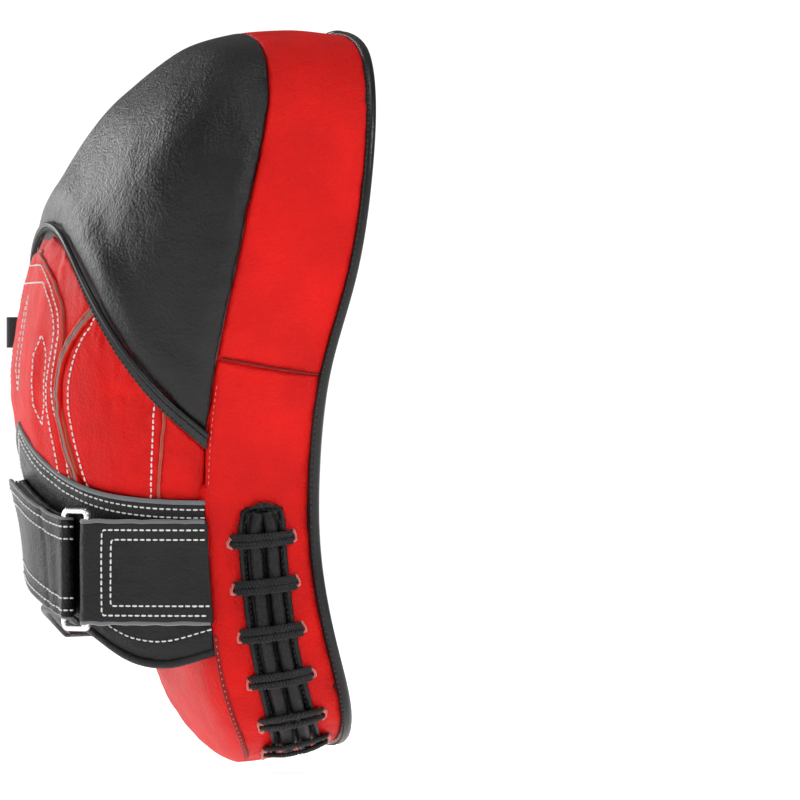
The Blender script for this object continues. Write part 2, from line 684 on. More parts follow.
TURNS = np.linspace(-math.pi / 2, math.pi / 2, 241)
PANEL_START = edge_height(TURNS, BINDING_RISE)
hood_rows = 1 - (1 - np.linspace(0, 1, 110)) ** 2.2
hood_p = np.zeros((110, 241, 3))
for i, share in enumerate(hood_rows):
    heights = PANEL_START + (285.3 - PANEL_START) * share
    above_edge = heights - PANEL_START
    puff = 1.9 * hump(above_edge, 11, 8.5) - 1.5 * np.exp(-above_edge / 1.6)
    near_band = np.minimum(np.pi / 2 - abs(TURNS), 0.4) / 0.4
    from_band = (np.pi / 2 - abs(TURNS)) * 60
    roll_over = 1.5 * hump(from_band, 8, 6.0) - 1.1 * np.exp(-from_band / 1.6)
    roll_over *= np.clip((262 - heights) / 30, 0, 1)
    hood_p[i] = skin(HOOD, TURNS, heights, 0.2)
    stand = puff * (0.3 + 0.7 * near_band) + roll_over
    hood_p[i] += skin_out(HOOD, TURNS, np.minimum(heights, 284.6)) * stand[:, None]
hood_soft = np.clip((285 - hood_p[..., 2]) / 20, 0, 1)[..., None]
hood_normal = grid_normals(hood_p)
pulls = ripple(hood_p * np.array([1.0, 1.0, 0.28]), 41, 9)
seam_pull = np.exp(-np.clip(hood_p[..., 2] - PANEL_START[None], 0, None) / 13.0)
side_gap = ((np.pi / 2 - abs(TURNS)) * 60)[None]
side_pull = 0.34 * ripple(hood_p * np.array([0.25, 0.35, 1.3]), 44, 7) * np.exp(-side_gap / 9.0)
hood_lift = 0.35 * ripple(hood_p, 42, 60) + 0.11 * ripple(hood_p, 43, 18)
hood_lift = hood_lift + 0.30 * pulls * seam_pull + side_pull
hood_p += hood_normal * hood_soft * hood_lift[..., None]
hood_leather = slab("hood_leather", hood_p, 1.6, SATIN)
dress(hood_leather, "hood_shell")


def hood_line(shift, out, turns=TURNS):
    """Line round the hood beside its lower edge, with its outward directions."""
    heights = edge_height(turns, shift)
    return skin(HOOD, turns, heights, out), skin_out(HOOD, turns, heights)


binding_p = np.zeros((12, 241, 3))
for i, share in enumerate(np.linspace(0, 1, 12)):
    line, normal = hood_line((BINDING_RISE - 1.2) * share - 0.2, 0.5)
    binding_p[i] = line + normal * (0.5 * math.sin(math.pi * share) ** 0.5)
binding_p += grid_normals(binding_p) * (0.10 * ripple(binding_p, 45, 8))[..., None]
binding = slab("hood_edge_binding", binding_p, 1.5, TRIM)
dress(binding, "hood_binding")

line, normal = hood_line(BINDING_RISE - 0.7, 0.0)
piping = sweep("hood_edge_piping", line + normal * 0.9, normal, oval(1.05, 1.15, 12), PIPING)
dress(piping, "hood_piping")
line, normal = hood_line(BINDING_RISE - 2.4, 0.0)
stitch(line + normal * 1.2, normal, "black", radius=0.28, **TRIM_THREAD)
line, normal = hood_line(0.8, 0.0)
stitch(line + normal * 1.1, normal, "black", radius=0.26, **TRIM_THREAD)


# ---------------------------------------------------------------- glove
# The glove is one run of surface whose columns follow its seams, so it can be cut there.
GLOVE_FOOT = 97.0
GLOVE_ROWS = 150
GLOVE_CUTS = [0, 34, 104, 224, 294, 328]
glove_tuck = SMOOTH[id(GLOVE)][0]
glove_depth = SMOOTH[id(GLOVE)][1]


def glove_turn(column, height):
    """Turn of each column at a height: the side seams and welts lie on fixed columns."""
    reach = np.clip((SIDE_SEAM - back_seam(height)) / glove_depth(height), -0.99, 0.99)
    side = np.arccos(reach)
    welt = np.arcsin(np.clip(welt_width(height) / (half_width(height) - glove_tuck(height)), 0, 0.99))
    welt = np.minimum(welt, side - 0.08)
    limits = [-math.pi / 2 + 0 * height, -side, -welt, welt, side, math.pi / 2 + 0 * height]
    turn = np.zeros_like(height)
    for k in range(5):
        a, b = GLOVE_CUTS[k], GLOVE_CUTS[k + 1]
        share = (column - a) / (b - a)
        inside = (column >= a) & (column <= b)
        turn = np.where(inside, limits[k] + (limits[k + 1] - limits[k]) * share, turn)
    return turn


columns = np.arange(GLOVE_CUTS[-1] + 1.0)
GLOVE_SHARE = np.linspace(0, 1, GLOVE_ROWS)[:, None]
glove_heights = GLOVE_FOOT + 70 * GLOVE_SHARE + 0 * columns[None]
for _ in range(12):
    turns = glove_turn(columns[None], glove_heights)
    tops = edge_height(turns, 3.5)
    glove_heights = 0.5 * glove_heights + 0.5 * (GLOVE_FOOT + (tops - GLOVE_FOOT) * GLOVE_SHARE)
turns = glove_turn(columns[None], glove_heights)
glove_p = skin(GLOVE, turns, glove_heights)
glove_n = grid_normals(glove_p)
below_hood = tops - glove_heights
under = np.exp(-np.clip(below_hood, 0, None) / 17.0)
fan = ripple(glove_p * np.array([1.3, 1.0, 0.28]), 51, 8.5)
lobes = np.cos(glove_p[..., 0] * 2 * math.pi / 24.0 + math.pi)
lobes *= hump(glove_p[..., 2], 207, 12.0)
ridge_x = 22 + 0.10 * (glove_p[..., 2] - 150)
beside, above = abs(glove_p[..., 0]), glove_p[..., 2]
ridge = hump(beside, ridge_x, 5.0) * hump(above, 152, 30.0)
hollow = hump(beside - ridge_x, 10, 6.0) * hump(above, 150, 26.0)
knuckle_swell = hump(above, 203, 13.0) * np.exp(-(glove_p[..., 0] / 46.0) ** 4)
glove_lift = 0.40 * under * fan + 1.1 * lobes + 1.7 * knuckle_swell + 1.0 * ridge - 0.9 * hollow
pulled = np.exp(-np.clip(below_hood, 0, None) / 26.0)
glove_lift += 0.30 * ripple(glove_p * np.array([1.0, 1.0, 0.45]), 56, 11) * pulled
glove_lift += 0.45 * ripple(glove_p, 52, 50) + 0.14 * ripple(glove_p, 53, 14)
crease_noise = ripple(glove_p @ np.array([[1.0, 0, 0.5], [0, 1.0, 0.6], [0, 0, 0.55]]), 57, 10, 9)
crease_field = np.exp(-np.clip(below_hood - 6, 0, None) / 24.0)
crease_field *= np.clip((abs(glove_p[..., 0]) - 42) / 10, 0, 1)
crease_patches = np.clip(ripple(glove_p, 58, 30) + 0.9, 0, 1)
glove_lift -= 0.75 * hump(crease_noise, 0, 0.28) * crease_field * crease_patches
welt_gap = abs(abs(glove_p[..., 0]) - welt_width(glove_p[..., 2]))
seam_gap = abs(glove_p[..., 1] - SIDE_SEAM)
glove_lift -= 1.5 * hump(welt_gap, 0, 2.4) + 0.8 * hump(seam_gap, 0, 1.3)
glove_lift += 0.35 * ripple(glove_p * np.array([1, 1, 1.4]), 54, 7) * np.exp(-seam_gap / 6.0)
tucked = np.clip(1 - (below_hood - 2.0) / 2.5, 0, 1)
edge_calm = np.clip((math.pi / 2 - abs(turns)) / 0.2, 0, 1)
glove_lift = (glove_lift * edge_calm) * (1 - tucked) - 1.4 * tucked
below_cuff = np.clip((cuff_top(abs(glove_p[..., 0])) + 1.2 - glove_p[..., 2]) / 3, 0, 1)
sink = 2.4 * below_cuff * np.clip((math.pi / 2 - abs(turns)) / 0.1, 0, 1)
glove_lift = glove_lift * (1 - below_cuff) - sink
glove_p += glove_n * glove_lift[..., None]
glove_n = grid_normals(glove_p)

for k, (part_name, node) in enumerate([
    ("glove_strip_laced", "glove_edge_strip_laced"), ("glove_side_leather_laced", "glove_side_laced"),
    ("glove_back_leather", "glove_back"), ("glove_side_leather_thumb", "glove_side_thumb"),
    ("glove_strip_thumb", "glove_edge_strip_thumb"),
]):
    part = slab(part_name, glove_p[:, GLOVE_CUTS[k]:GLOVE_CUTS[k + 1] + 1], 1.6, RED, soften=0.12)
    dress(part, node)


def glove_spot(x, z, out=0.0):
    """Points and normals on the finished glove at widths and heights."""
    x, z = (a.astype(float) for a in np.broadcast_arrays(x, z))
    shape = x.shape
    spots = np.zeros((x.size, 3))
    normals = np.zeros((x.size, 3))
    flat_p, flat_n = glove_p.reshape(-1, 3), glove_n.reshape(-1, 3)
    middle = flat_p[:, 1] > 20
    flat_p, flat_n = flat_p[middle], flat_n[middle]
    for m, (xx, zz) in enumerate(zip(x.ravel(), z.ravel())):
        gap = (flat_p[:, 0] - xx) ** 2 + (flat_p[:, 2] - zz) ** 2
        near = np.argpartition(gap, 6)[:6]
        weight = 1 / (gap[near] + 0.02)
        weight /= weight.sum()
        offset = flat_p[near]
        n = unit((flat_n[near] * weight[:, None]).sum(0))
        y = offset[:, 1] + (n[0] * (offset[:, 0] - xx) + n[2] * (offset[:, 2] - zz)) / max(n[1], 0.25)
        spots[m] = xx, (y * weight).sum(), zz
        normals[m] = n
    normals = normals.reshape(*shape, 3)
    return spots.reshape(*shape, 3) + normals * out, normals


# Welts: two leather layers stand up side by side with raw edges and a fuzzy core.
for side, side_name in ((-1, "laced"), (1, "thumb")):
    column = GLOVE_CUTS[2] if side < 0 else GLOVE_CUTS[3]
    run = along_curve(glove_p[:, column][glove_p[:, column, 2] > 99], step=0.9)
    out = np.stack(
        [np.interp(run[:, 2], glove_p[:, column, 2], glove_n[:, column, k]) for k in range(3)], axis=1)
    wobble = 0.18 * ripple(run, 61, 5)
    for layer, shift, material in (("outer", 1.15, RED), ("inner", -1.15, RED), ("core", 0.0, RAW_GREY)):
        tangent = unit(np.gradient(run, axis=0))
        across = unit(np.cross(tangent, out))
        tall = 2.3 if layer != "core" else 2.0
        wide = 0.62 if layer != "core" else 0.6
        path = run + across * shift + out * (1.0 + wobble[:, None] * (1 if layer != "core" else 2))
        box = [
            (-wide, -tall), (wide, -tall), (wide, 1.0), (0.5 * wide, 1.35), (-0.5 * wide, 1.35),
            (-wide, 1.0)]
        piece = sweep(f"welt_{side_name}_{layer}", path, out, box, material)
        if layer == "outer":
            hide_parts(f"glove_welt_{side_name}")
        if layer != "core":
            lip = sweep(
                f"welt_{side_name}_{layer}_raw", path + out * 1.15, out, oval(0.55, 0.32, 8), RAW_RED)
    seam_run = glove_p[4:-8, column + side * 9]
    seam_out = glove_n[4:-8, column + side * 9]
    stitch(seam_run + seam_out * 0.1, seam_out, "white", **{**SEAM_THREAD, "radius": 0.38})
    column = GLOVE_CUTS[1] if side < 0 else GLOVE_CUTS[4]
    strip_run = glove_p[3:-8, column]
    strip_out = glove_n[3:-8, column]
    piece = sweep(
        f"side_seam_edge_{side_name}", strip_run + strip_out * 0.5, strip_out, oval(0.6, 0.55, 8), RAW_RED)
    row = glove_p[3:-8, column - side * 6]
    stitch(row, glove_n[3:-8, column - side * 6], "white", **SEAM_THREAD)

# Knuckle patch: its own leather on top of the glove, stitched twice round and three times inside.
PATCH_KNOTS = [
    (101, 31), (105, 36.5), (112, 39.5), (142, 41), (156, 43.5), (170, 45.5),
    (180, 39.5), (192, 24), (200.5, 4)]
PATCH = [tuple(knot) for knot in spline(PATCH_KNOTS, 40)]
patch_z = np.concatenate([np.linspace(101, 112, 16)[:-1], np.linspace(112, 200.5, 84)])
patch_half = read_off(np.array(PATCH), 0, 1)(patch_z)
across_patch = np.linspace(-1, 1, 85)
patch_p, patch_n = glove_spot(
    patch_half[:, None] * across_patch[None], patch_z[:, None] + 0 * across_patch[None])
patch_edge = np.minimum(
    np.minimum(1 - abs(across_patch)[None] + 0 * patch_z[:, None], 1.0) * patch_half[:, None],
    np.minimum(patch_z - 101, 300)[:, None] + 0 * across_patch[None])
slots = [(-28, 133, 168), (0, 146, 184), (28, 133, 168)]
puffs = np.zeros(patch_p.shape[:2])
for centre, low, high in slots:
    dx = (patch_p[..., 0] - centre) / 7.5
    dz = (patch_p[..., 2] - (low + high) / 2) / ((high - low) / 2 + 3)
    puffs -= 0.9 * np.exp(-(dx**2 + dz**4))
patch_rise = 1.25 + 0.5 * hump(patch_edge, 9, 4.5) - 0.35 * np.exp(-patch_edge / 1.4)
patch_rise = patch_rise + puffs * 0.55
patch_rise += 0.10 * ripple(patch_p, 55, 9)
patch_under = np.clip((cuff_top(abs(patch_p[..., 0])) + 1.2 - patch_p[..., 2]) / 3, 0, 1)
patch_rise = patch_rise * (1 - patch_under) + 0.3 * patch_under
patch_p += patch_n * patch_rise[..., None]
knuckle = slab("knuckle_patch_leather", patch_p, 1.5, RED, soften=0.1)
dress(knuckle, "knuckle_patch")
patch_n = grid_normals(patch_p)


def patch_line(points, out=0.1):
    """A line drawn on the patch from widths and heights."""
    line = along_curve(np.array(points, float), step=1.5)
    spots, normals = glove_spot(line[:, 0], line[:, 1])
    tree = patch_p.reshape(-1, 3)
    normal_list = patch_n.reshape(-1, 3)
    result, result_n = [], []
    for spot in spots:
        gap = (tree[:, 0] - spot[0]) ** 2 + (tree[:, 2] - spot[2]) ** 2
        k = np.argpartition(gap, 4)[:4]
        weight = 1 / (gap[k] + 0.05)
        weight /= weight.sum()
        n = unit((normal_list[k] * weight[:, None]).sum(0))
        shift = (n[0] * (tree[k, 0] - spot[0]) + n[2] * (tree[k, 2] - spot[2])) / max(n[1], 0.25)
        result.append((spot[0], ((tree[k, 1] + shift) * weight).sum(), spot[2]))
        result_n.append(n)
    return np.array(result) + np.array(result_n) * out, np.array(result_n)


for inset in (3.0, 6.6):
    left = [(-max(b - inset * 1.05, 0), a) for a, b in PATCH[1:]]
    rounded = [(x, min(z, 200.5 - inset * 1.9)) for x, z in left]
    right = [(-x, z) for x, z in rounded[::-1]]
    line, normal = patch_line(rounded + right)
    stitch(line, normal, "white", radius=0.36, **PATCH_THREAD)
patch_rim = [(-b, a) for a, b in PATCH[1:]] + [(b, a) for a, b in PATCH[:0:-1]]
edge_line, edge_normal = patch_line(patch_rim, -0.5)
raw_patch = sweep("knuckle_patch_raw_edge", edge_line, edge_normal, oval(0.45, 0.75, 8), RAW_RED)
for centre, low, high in slots:
    hexagon = [
        (centre, low), (centre + 4.2, low + 8), (centre + 4.2, high - 8), (centre, high),
        (centre - 4.2, high - 8), (centre - 4.2, low + 8), (centre, low)]
    line, normal = patch_line(hexagon)
    stitch(line, normal, "white", radius=0.34, **PATCH_THREAD)

# Small black tab at the top of the glove, folded double.
THUMB_TAB = (30.0, 70.6, 169.0)
tab_way = unit(np.array([0.25, 0.97, 0.0]))
tab_side = np.array([0.0, 0.0, 1.0])
fold_run = []
for s in np.linspace(0, 1, 30):
    if s < 0.4:
        fold_run.append((-3.2 + 6.0 * s / 0.4, 1.15))
    elif s < 0.6:
        angle = math.pi * (s - 0.4) / 0.2
        fold_run.append((2.8 + 1.15 * math.sin(angle), 1.15 * math.cos(angle)))
    else:
        fold_run.append((2.8 - 6.0 * (s - 0.6) / 0.4, -1.15))
tab_across = np.array([tab_way[1], -tab_way[0], 0.0])
fold_p = np.array([
    [np.array(THUMB_TAB) + tab_way * a + tab_across * b + tab_side * h for a, b in fold_run]
    for h in np.linspace(-6, 6, 16)])
tab_piece = slab("thumb_tab_tape", fold_p, 0.9, TRIM, flip=False, soften=0.2)
dress(tab_piece, "thumb_tab")


# ---------------------------------------------------------------- cuff
CUFF_COLUMNS = 241
cuff_turns = np.linspace(-math.pi / 2, math.pi / 2, CUFF_COLUMNS)


THUMB_HEM = 51.0         # the hem hangs less low on the thumb side


def hem_level(p):
    """Height of the cuff's hem at a point of the cuff."""
    level = hem_edge(p[..., 1])
    thumbward = np.clip(p[..., 0] / 30.0, 0, 1) ** 2
    return level + thumbward * np.clip(THUMB_HEM - level, 0, None)


cuff_foot = meet_height(CUFF, cuff_turns, hem_level, 20.0, 140.0)
cuff_head = meet_height(CUFF, cuff_turns, lambda p: cuff_top(abs(p[..., 0])), 20.0, 140.0)
cuff_p = np.zeros((90, CUFF_COLUMNS, 3))
for i, share in enumerate(np.linspace(0, 1, 90)):
    heights = cuff_foot + (cuff_head - cuff_foot) * share
    from_foot, from_head = heights - cuff_foot, cuff_head - heights
    under_strap = hump(heights, 77, 20.0)
    puff = 0.9 * hump(from_foot, 6, 4.0) + 0.7 * hump(from_head, 9, 5)
    puff = puff - 0.5 * np.exp(-from_head / 1.0) - 0.3
    stand = (puff * (1 - under_strap))[:, None]
    cuff_p[i] = skin(CUFF, cuff_turns, heights) + skin_out(CUFF, cuff_turns, heights) * stand
cuff_rough = 0.30 * ripple(cuff_p, 71, 34) + 0.10 * ripple(cuff_p, 72, 9)
cuff_quiet = 1 - np.exp(-((cuff_p[..., 2] - 77) / 17.0) ** 4)
cuff_p += grid_normals(cuff_p) * (cuff_rough * cuff_quiet)[..., None]
cuff_leather = slab("cuff_leather", cuff_p, 1.8, BLACK, soften=0.15)
dress(cuff_leather, "cuff_outer")


def cuff_line(level, shift, out):
    """Line round the cuff at heights, with its outward directions."""
    heights = level + shift
    return skin(CUFF, cuff_turns, heights, out), skin_out(CUFF, cuff_turns, heights)


line, normal = cuff_line(cuff_foot, 0.0, -1.0)
hem = sweep("cuff_rolled_hem", line, normal, oval(1.9, 1.9, 12), BLACK)
line, normal = cuff_line(cuff_head, 0.35, -0.5)
raw = sweep("cuff_raw_top_edge", line, normal, oval(0.95, 0.85, 8), RAW_GREY)
STRAP_COVERS_FROM = -40.0    # width across the back from which the strap hides the stitches
for level, shift in ((cuff_head, -2.3), (cuff_head, -5.4), (cuff_foot, 8.6)):
    line, normal = cuff_line(level, shift, 0.0)
    grid = cuff_p.reshape(-1, 3)
    lifted = []
    for spot, n in zip(line, normal):
        gap = ((grid - spot) ** 2).sum(1)
        k = np.argmin(gap)
        lifted.append(spot + n * float((grid[k] - spot) @ n))
    lifted = np.array(lifted)
    covered = (lifted[:, 0] > STRAP_COVERS_FROM) & (lifted[:, 2] > strap_low(lifted[:, 0]) - 1.5)
    covered &= lifted[:, 2] < strap_low(lifted[:, 0]) + STRAP_WIDTH
    shown = np.where(~covered)[0]
    for run in np.split(shown, np.where(np.diff(shown) > 1)[0] + 1):
        if len(run) > 3:
            stitch(lifted[run], normal[run], "white", **SEAM_THREAD)


# ---------------------------------------------------------------- wrist strap
def cuff_plan(height):
    """Plan section of the cuff at a height, as fine points from the laced seam to the thumb seam."""
    t = np.linspace(-math.pi / 2, math.pi / 2, 1200)
    return skin(CUFF, t, np.full(1200, float(height)))[:, :2]


def stand_off(plan, distance):
    """A plan curve moved outwards, and its outward directions."""
    tangent = unit(np.gradient(plan, axis=0))
    normal = np.stack([-tangent[:, 1], tangent[:, 0]], axis=1)
    return plan + normal * distance, normal


turn_at_ring = math.radians(RING_TURN)
ring_spot = skin(CUFF, np.array(-turn_at_ring), np.array(RING_HEIGHT))[:2]
ring_out = np.array([
    -math.sin(turn_at_ring) / float(half_width(RING_HEIGHT)), math.cos(turn_at_ring) / CUFF_DEPTH])
ring_out /= np.linalg.norm(ring_out)
ring_on = np.array([ring_out[1], -ring_out[0]])
ring_middle = ring_spot + ring_out * RING_STAND
bar_reach = RING_WIDTH / 2 - RING_WIRE / 2
tab_bar = ring_middle - ring_on * bar_reach
strap_bar = ring_middle + ring_on * bar_reach


def arc(centre, radius, start, stop, count=24):
    """Arc in plan between two angles measured from the ring's onward way towards outward."""
    a = np.radians(np.linspace(start, stop, count))[:, None]
    return centre + radius * (ring_on * np.cos(a) + ring_out * np.sin(a))


def smooth_path(points, step=0.7, passes=10):
    """Resampled path with its corners eased."""
    p = along_curve(points, step=step)
    for _ in range(passes):
        p[1:-1] = 0.25 * p[:-2] + 0.5 * p[1:-1] + 0.25 * p[2:]
    return p


def tab_path(height):
    """The ring tab in plan: out from the seam, round the tab bar and back under."""
    plan = cuff_plan(height)
    top, _ = stand_off(plan, 4.1)
    low, _ = stand_off(plan, 0.35)
    before = plan[:, 0] < tab_bar[0] - 7.5
    path = np.vstack([top[before][::12], arc(tab_bar, 3.45, 100, -100), low[before][::12][::-1]])
    return along_curve(smooth_path(path, passes=6), count=190)


tab_heights = np.linspace(TAB_LOW, TAB_HIGH, 48)
tab_p = np.array([
    np.hstack([tab_path(h), np.full((190, 1), h)]) for h in tab_heights])
tab_p += grid_normals(tab_p) * (0.12 * ripple(tab_p, 81, 12))[..., None]
tab_leather = slab("ring_tab_leather", tab_p, 1.6, BLACK, soften=0.2)
dress(tab_leather, "ring_tab")


def tab_surface(along, height, out):
    """Point and normal on the outer face of the ring tab: along is mm from the seam."""
    path = tab_path(height)
    length = run_length(path)
    spot = np.array([np.interp(along, length, path[:, k]) for k in range(2)])
    ahead = np.array([np.interp(along + 0.5, length, path[:, k]) for k in range(2)])
    way = unit(ahead - spot)
    normal = np.array([-way[1], way[0], 0.0])
    return np.append(spot, height) + normal * out, normal


def tab_length():
    """Length of the ring tab's outer face from the seam to the ring."""
    path = tab_path(RING_HEIGHT)
    length = run_length(path)
    first_back = np.argmax(path[:, 0])
    return length[np.argmin(abs(path[:first_back, 0] - (tab_bar[0] - 2)))]


def tab_stitches(corners):
    """A row of stitches on the ring tab, through corners given as length and height."""
    line, normals = [], []
    for along, height in along_curve(np.array(corners, float), step=1.2):
        spot, normal = tab_surface(along, height, 0.08)
        line.append(spot)
        normals.append(normal)
    stitch(np.array(line), np.array(normals), "white", **SEAM_THREAD)


TAB_REACH = tab_length()
for inset in (2.9, 6.6):
    tab_stitches([
        (1.0, TAB_HIGH - inset), (TAB_REACH - inset - 5.0, TAB_HIGH - inset),
        (TAB_REACH - inset - 3.6, TAB_LOW + inset),
        (1.0, TAB_LOW + inset)])
for height, edge_name in ((TAB_HIGH + 0.02, "top"), (TAB_LOW - 0.02, "bottom")):
    path = tab_path(height)
    first_back = int(np.argmax(path[:, 0]))
    run = np.hstack([path[2:first_back + 20], np.full((first_back + 18, 1), height)])
    normal = -unit(np.cross(np.gradient(run, axis=0), (0, 0, 1.0)))
    inside = run - normal * 0.80 + (0, 0, 0.25 if edge_name == "top" else 0.1)
    inside[:, 2] += 0.22 * ripple(inside, 83, 7)
    raw = sweep(f"ring_tab_raw_{edge_name}", inside, (0, 0, 1.0), oval(0.95, 0.9, 8), RAW_GREY)


def strap_surface(x, height, distance):
    """Points of a layer round the cuff at a stand-off, read at widths across the back."""
    x, height = np.broadcast_arrays(np.asarray(x, float), np.asarray(height, float))
    result = np.zeros((*x.shape, 3))
    for index in np.ndindex(x.shape):
        half, depth = float(half_width(height[index])), float(CUFF_READ(height[index]))
        base = float(back_seam(height[index]))
        t = math.asin(max(-0.999, min(0.999, x[index] / (half + distance))))
        result[index] = (
            (half + distance) * math.sin(t), base + (depth + distance) * math.cos(t), height[index])
    return result


CUFF_READ = SMOOTH[id(CUFF)][1]
CLOSED_LAYER = 3.7
STRAP_THICK = 2.2
STRAP_OUTER = CLOSED_LAYER + 0.8 + STRAP_THICK

base_x = np.linspace(strap_bar[0] + 5.5, 79.5, 110)
base_z = strap_low(base_x)[None] + STRAP_WIDTH * np.linspace(0, 1, 30)[:, None]
base_p = strap_surface(base_x[None] + 0 * base_z, base_z, 2.45)
strap_under = slab("strap_base_leather", base_p, 1.9, BLACK, soften=0.2)
dress(strap_under, "strap_base")


def end_path(height_share):
    """The moving strap in plan at a share of its width: round the bar, then out over the cuff."""
    x = np.linspace(strap_bar[0] + 3.4, STRAP_END, 80)
    z = strap_low(x) + STRAP_WIDTH * height_share
    outer = strap_surface(x, z, STRAP_OUTER)
    radius = 3.5
    a = np.radians(np.linspace(-55, -262, 30))
    bend = strap_bar + radius * (ring_on * np.cos(a)[:, None] + ring_out * np.sin(a)[:, None])
    bend_z = np.full((30, 1), strap_low(strap_bar[0]) + 0.3 + (STRAP_WIDTH - 0.6) * height_share)
    path = np.vstack([np.hstack([bend, bend_z]), outer[2:]])
    return along_curve(smooth_path(path, passes=8), count=170)


strap_p = np.array([end_path(share) for share in np.linspace(0, 1, 46)])
strap_n = grid_normals(strap_p)
crease_x = strap_bar[0] + 13.0
strap_away = np.clip((strap_p[..., 0] - strap_bar[0] - 4) / 4, 0, 1)
strap_lift = -0.55 * hump(strap_p[..., 0], crease_x, 1.8)
strap_lift += 0.22 * ripple(strap_p * np.array([1, 1, 0.35]), 91, 17)
strap_p += strap_n * (strap_lift * strap_away)[..., None]
strap_n = grid_normals(strap_p)
strap_leather = slab("strap_end_leather", strap_p, 1.75, BLACK, body="strap", soften=0.2)
dress(strap_leather, "strap_end")
for row in (0.076, 0.20, 0.80, 0.924):
    i = row * 45
    i0 = int(i)
    line = strap_p[i0] * (1 - i + i0) + strap_p[i0 + 1] * (i - i0)
    normal = strap_n[i0]
    away = np.flatnonzero(np.arange(len(line)) > 9)[:-4]
    stitch(line[away] + normal[away] * 0.08, normal[away], "white", body="strap", **SEAM_THREAD)
for end_x in (STRAP_END - 3, STRAP_END - 6.5):
    columns_x = np.argmin(abs(strap_p[20, 40:, 0] - end_x)) + 40
    rise = strap_p[4:-4, columns_x]
    stitch(rise, strap_n[4:-4, columns_x], "white", body="strap", **SEAM_THREAD)
for row, edge_name in ((0, "bottom"), (45, "top")):
    inside = strap_p[row, 1:-1] - strap_n[row, 1:-1] * 0.9
    raw = sweep(f"strap_raw_{edge_name}", inside, (0, 0, 1.0), oval(0.85, 0.6, 8), RAW_GREY, body="strap")


# ---------------------------------------------------------------- lacing
def laced(height, aside, out):
    """Point on the laced edge: height on the outline, distance behind the lacing's middle, stand-off."""
    height, aside, out = np.broadcast_arrays(*(np.asarray(a, float) for a in (height, aside, out)))
    front, back = strike_face(height), back_seam(height)
    share = ((front + back) / 2 - 1 + aside - front) / (back - front)
    index = index_at(height, -1)
    return edge_point(index, share, out)


def laced_out(height):
    """Outward direction of the laced edge at heights on the outline."""
    i = index_at(np.asarray(height, float), -1)
    k = np.round(i).astype(int) % LOOP_COUNT
    return np.stack([LOOP_OUT[k][..., 0], 0 * LOOP_OUT[k][..., 0], LOOP_OUT[k][..., 1]], axis=-1)


def laced_point(height, aside, out):
    """Point on the laced edge moved straight outwards."""
    base = laced(height, aside, 0.0)
    return base + laced_out(height) * np.asarray(out, float)[..., None]


arch_z = LACING_TOP - 12 * (1 - np.linspace(0, 1, 30)[1:]) ** 1.7
facing_z = np.concatenate([np.linspace(4.6, LACING_TOP - 12, 90), arch_z])
over_top = np.clip((facing_z - (LACING_TOP - FACING_HALF)) / FACING_HALF, 0, 0.995)
facing_half = FACING_HALF * np.sqrt(1 - over_top**2)
across_facing = np.linspace(-1, 1, 41)
facing_aside = facing_half[:, None] * across_facing[None]
inward = FACING_HALF - abs(facing_aside)
near_rim = np.minimum(inward, (LACING_TOP - facing_z)[:, None])
facing_rise = 2.3 + 1.0 * hump(near_rim, 1.5, 1.3)
facing_rise = facing_rise - 0.5 * hump(near_rim, 3.6, 0.8)
facing_p = laced_point(facing_z[:, None] + 0 * facing_aside, facing_aside, facing_rise)
facing_p += 0.06 * ripple(facing_p, 95, 6)[..., None] * laced_out(facing_z)[:, None]
facing = slab("lacing_facing_leather", facing_p, 1.4, BLACK, soften=0.3)
dress(facing, "lacing_facing")
left = [(z, -h + 2.6) for z, h in zip(facing_z[:92:4], facing_half[:92:4])]
arch = [
    (LACING_TOP - FACING_HALF + (FACING_HALF - 2.6) * math.sin(a), -(FACING_HALF - 2.6) * math.cos(a))
    for a in np.linspace(0, math.pi, 22)]
rim_line = np.array(left + arch + [(z, -a) for z, a in left[::-1]])
rim_run = laced_point(rim_line[:, 0], rim_line[:, 1], np.full(len(rim_line), 2.75))
stitch(rim_run, laced_out(rim_line[:, 0]), "black", radius=0.26, **TRIM_THREAD)

roll_z = np.linspace(7.0, 99.5, 150)
for side, roll_name, node in ((-1, "lacing_roll_front_leather", "lacing_roll_front"),
                              (1, "lacing_roll_back_leather", "lacing_roll_back")):
    spread = ROLL_SPREAD - 1.2 * np.clip((roll_z - 90) / 9.5, 0, 1) ** 2
    pinch = sum(hump(roll_z, row, 3.0) for row in LACE_ROWS)
    stand = 4.2 - 0.35 * pinch - 1.6 * np.clip((roll_z - 94) / 5.5, 0, 1) ** 2
    path = laced_point(roll_z, side * spread, stand)
    path += 0.12 * ripple(path, 96 + side, 9)[:, None] * laced_out(roll_z)
    roll = sweep(roll_name, path, laced_out(roll_z), oval(ROLL_RADIUS, ROLL_RADIUS * 0.96, 16), BLACK)
    dress(roll, node)


YARN_STEP = 0.42
PLAIT = 4.2              # length in which a yarn crosses over and back


